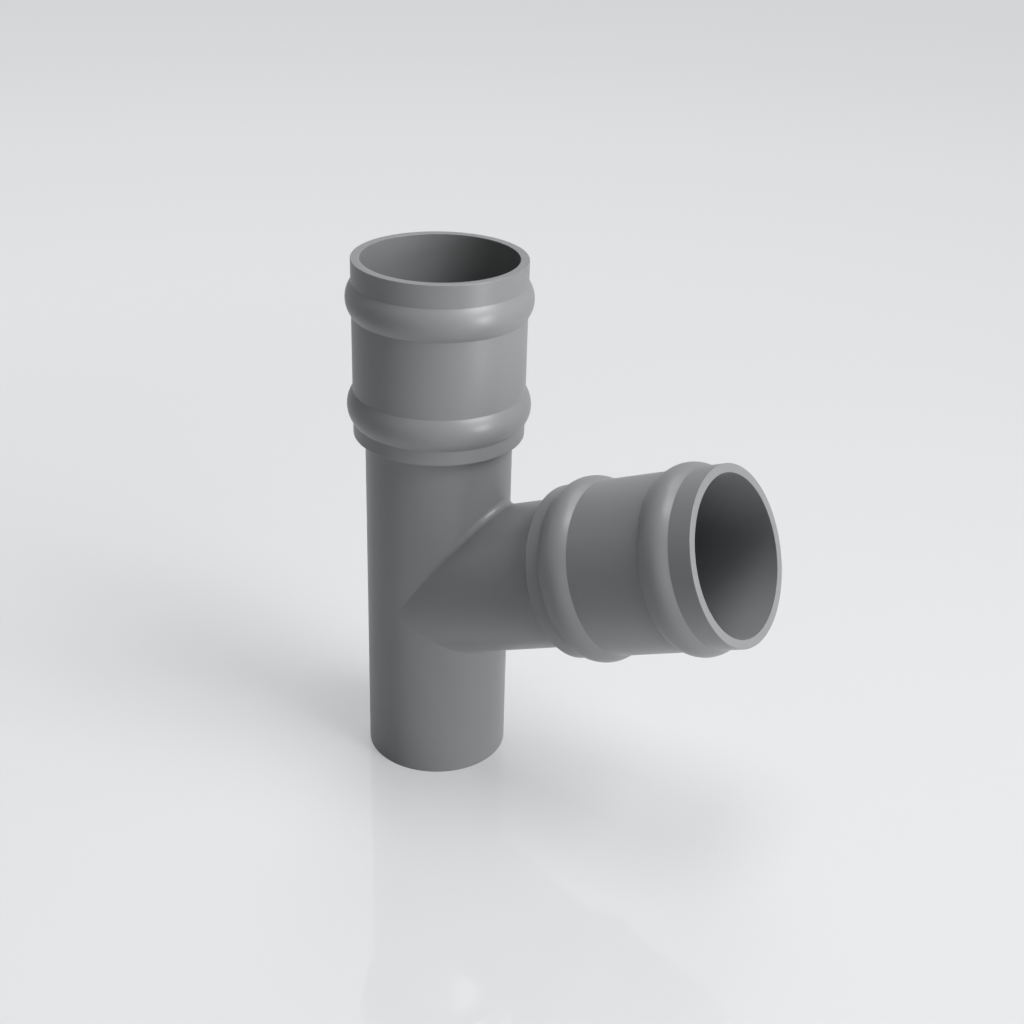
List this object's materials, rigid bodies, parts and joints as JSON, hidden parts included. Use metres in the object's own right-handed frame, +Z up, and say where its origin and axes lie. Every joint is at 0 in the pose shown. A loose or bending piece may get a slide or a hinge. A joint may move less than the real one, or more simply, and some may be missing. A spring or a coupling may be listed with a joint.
{
  "type": "downpipe branch",
  "caption": "Cast round downpipe branch: a plain spigot below, a beaded socket on top, and a beaded socket on a side arm that lets a second pipe join at 112.5 degrees.",
  "frame": {"origin": "centre of the spigot's foot, on the axis of the upright pipe", "axes": "+Z up the upright pipe, out of its socket; +X towards the side arm; +Y to its left"},
  "size_m": [0.2344, 0.094, 0.2811],
  "materials": {
    "grey_casting": "smooth casting with a satin mid-grey coating"
  },
  "bodies": {
    "root": {"branch_casting": "grey_casting"}
  },
  "joints": []
}
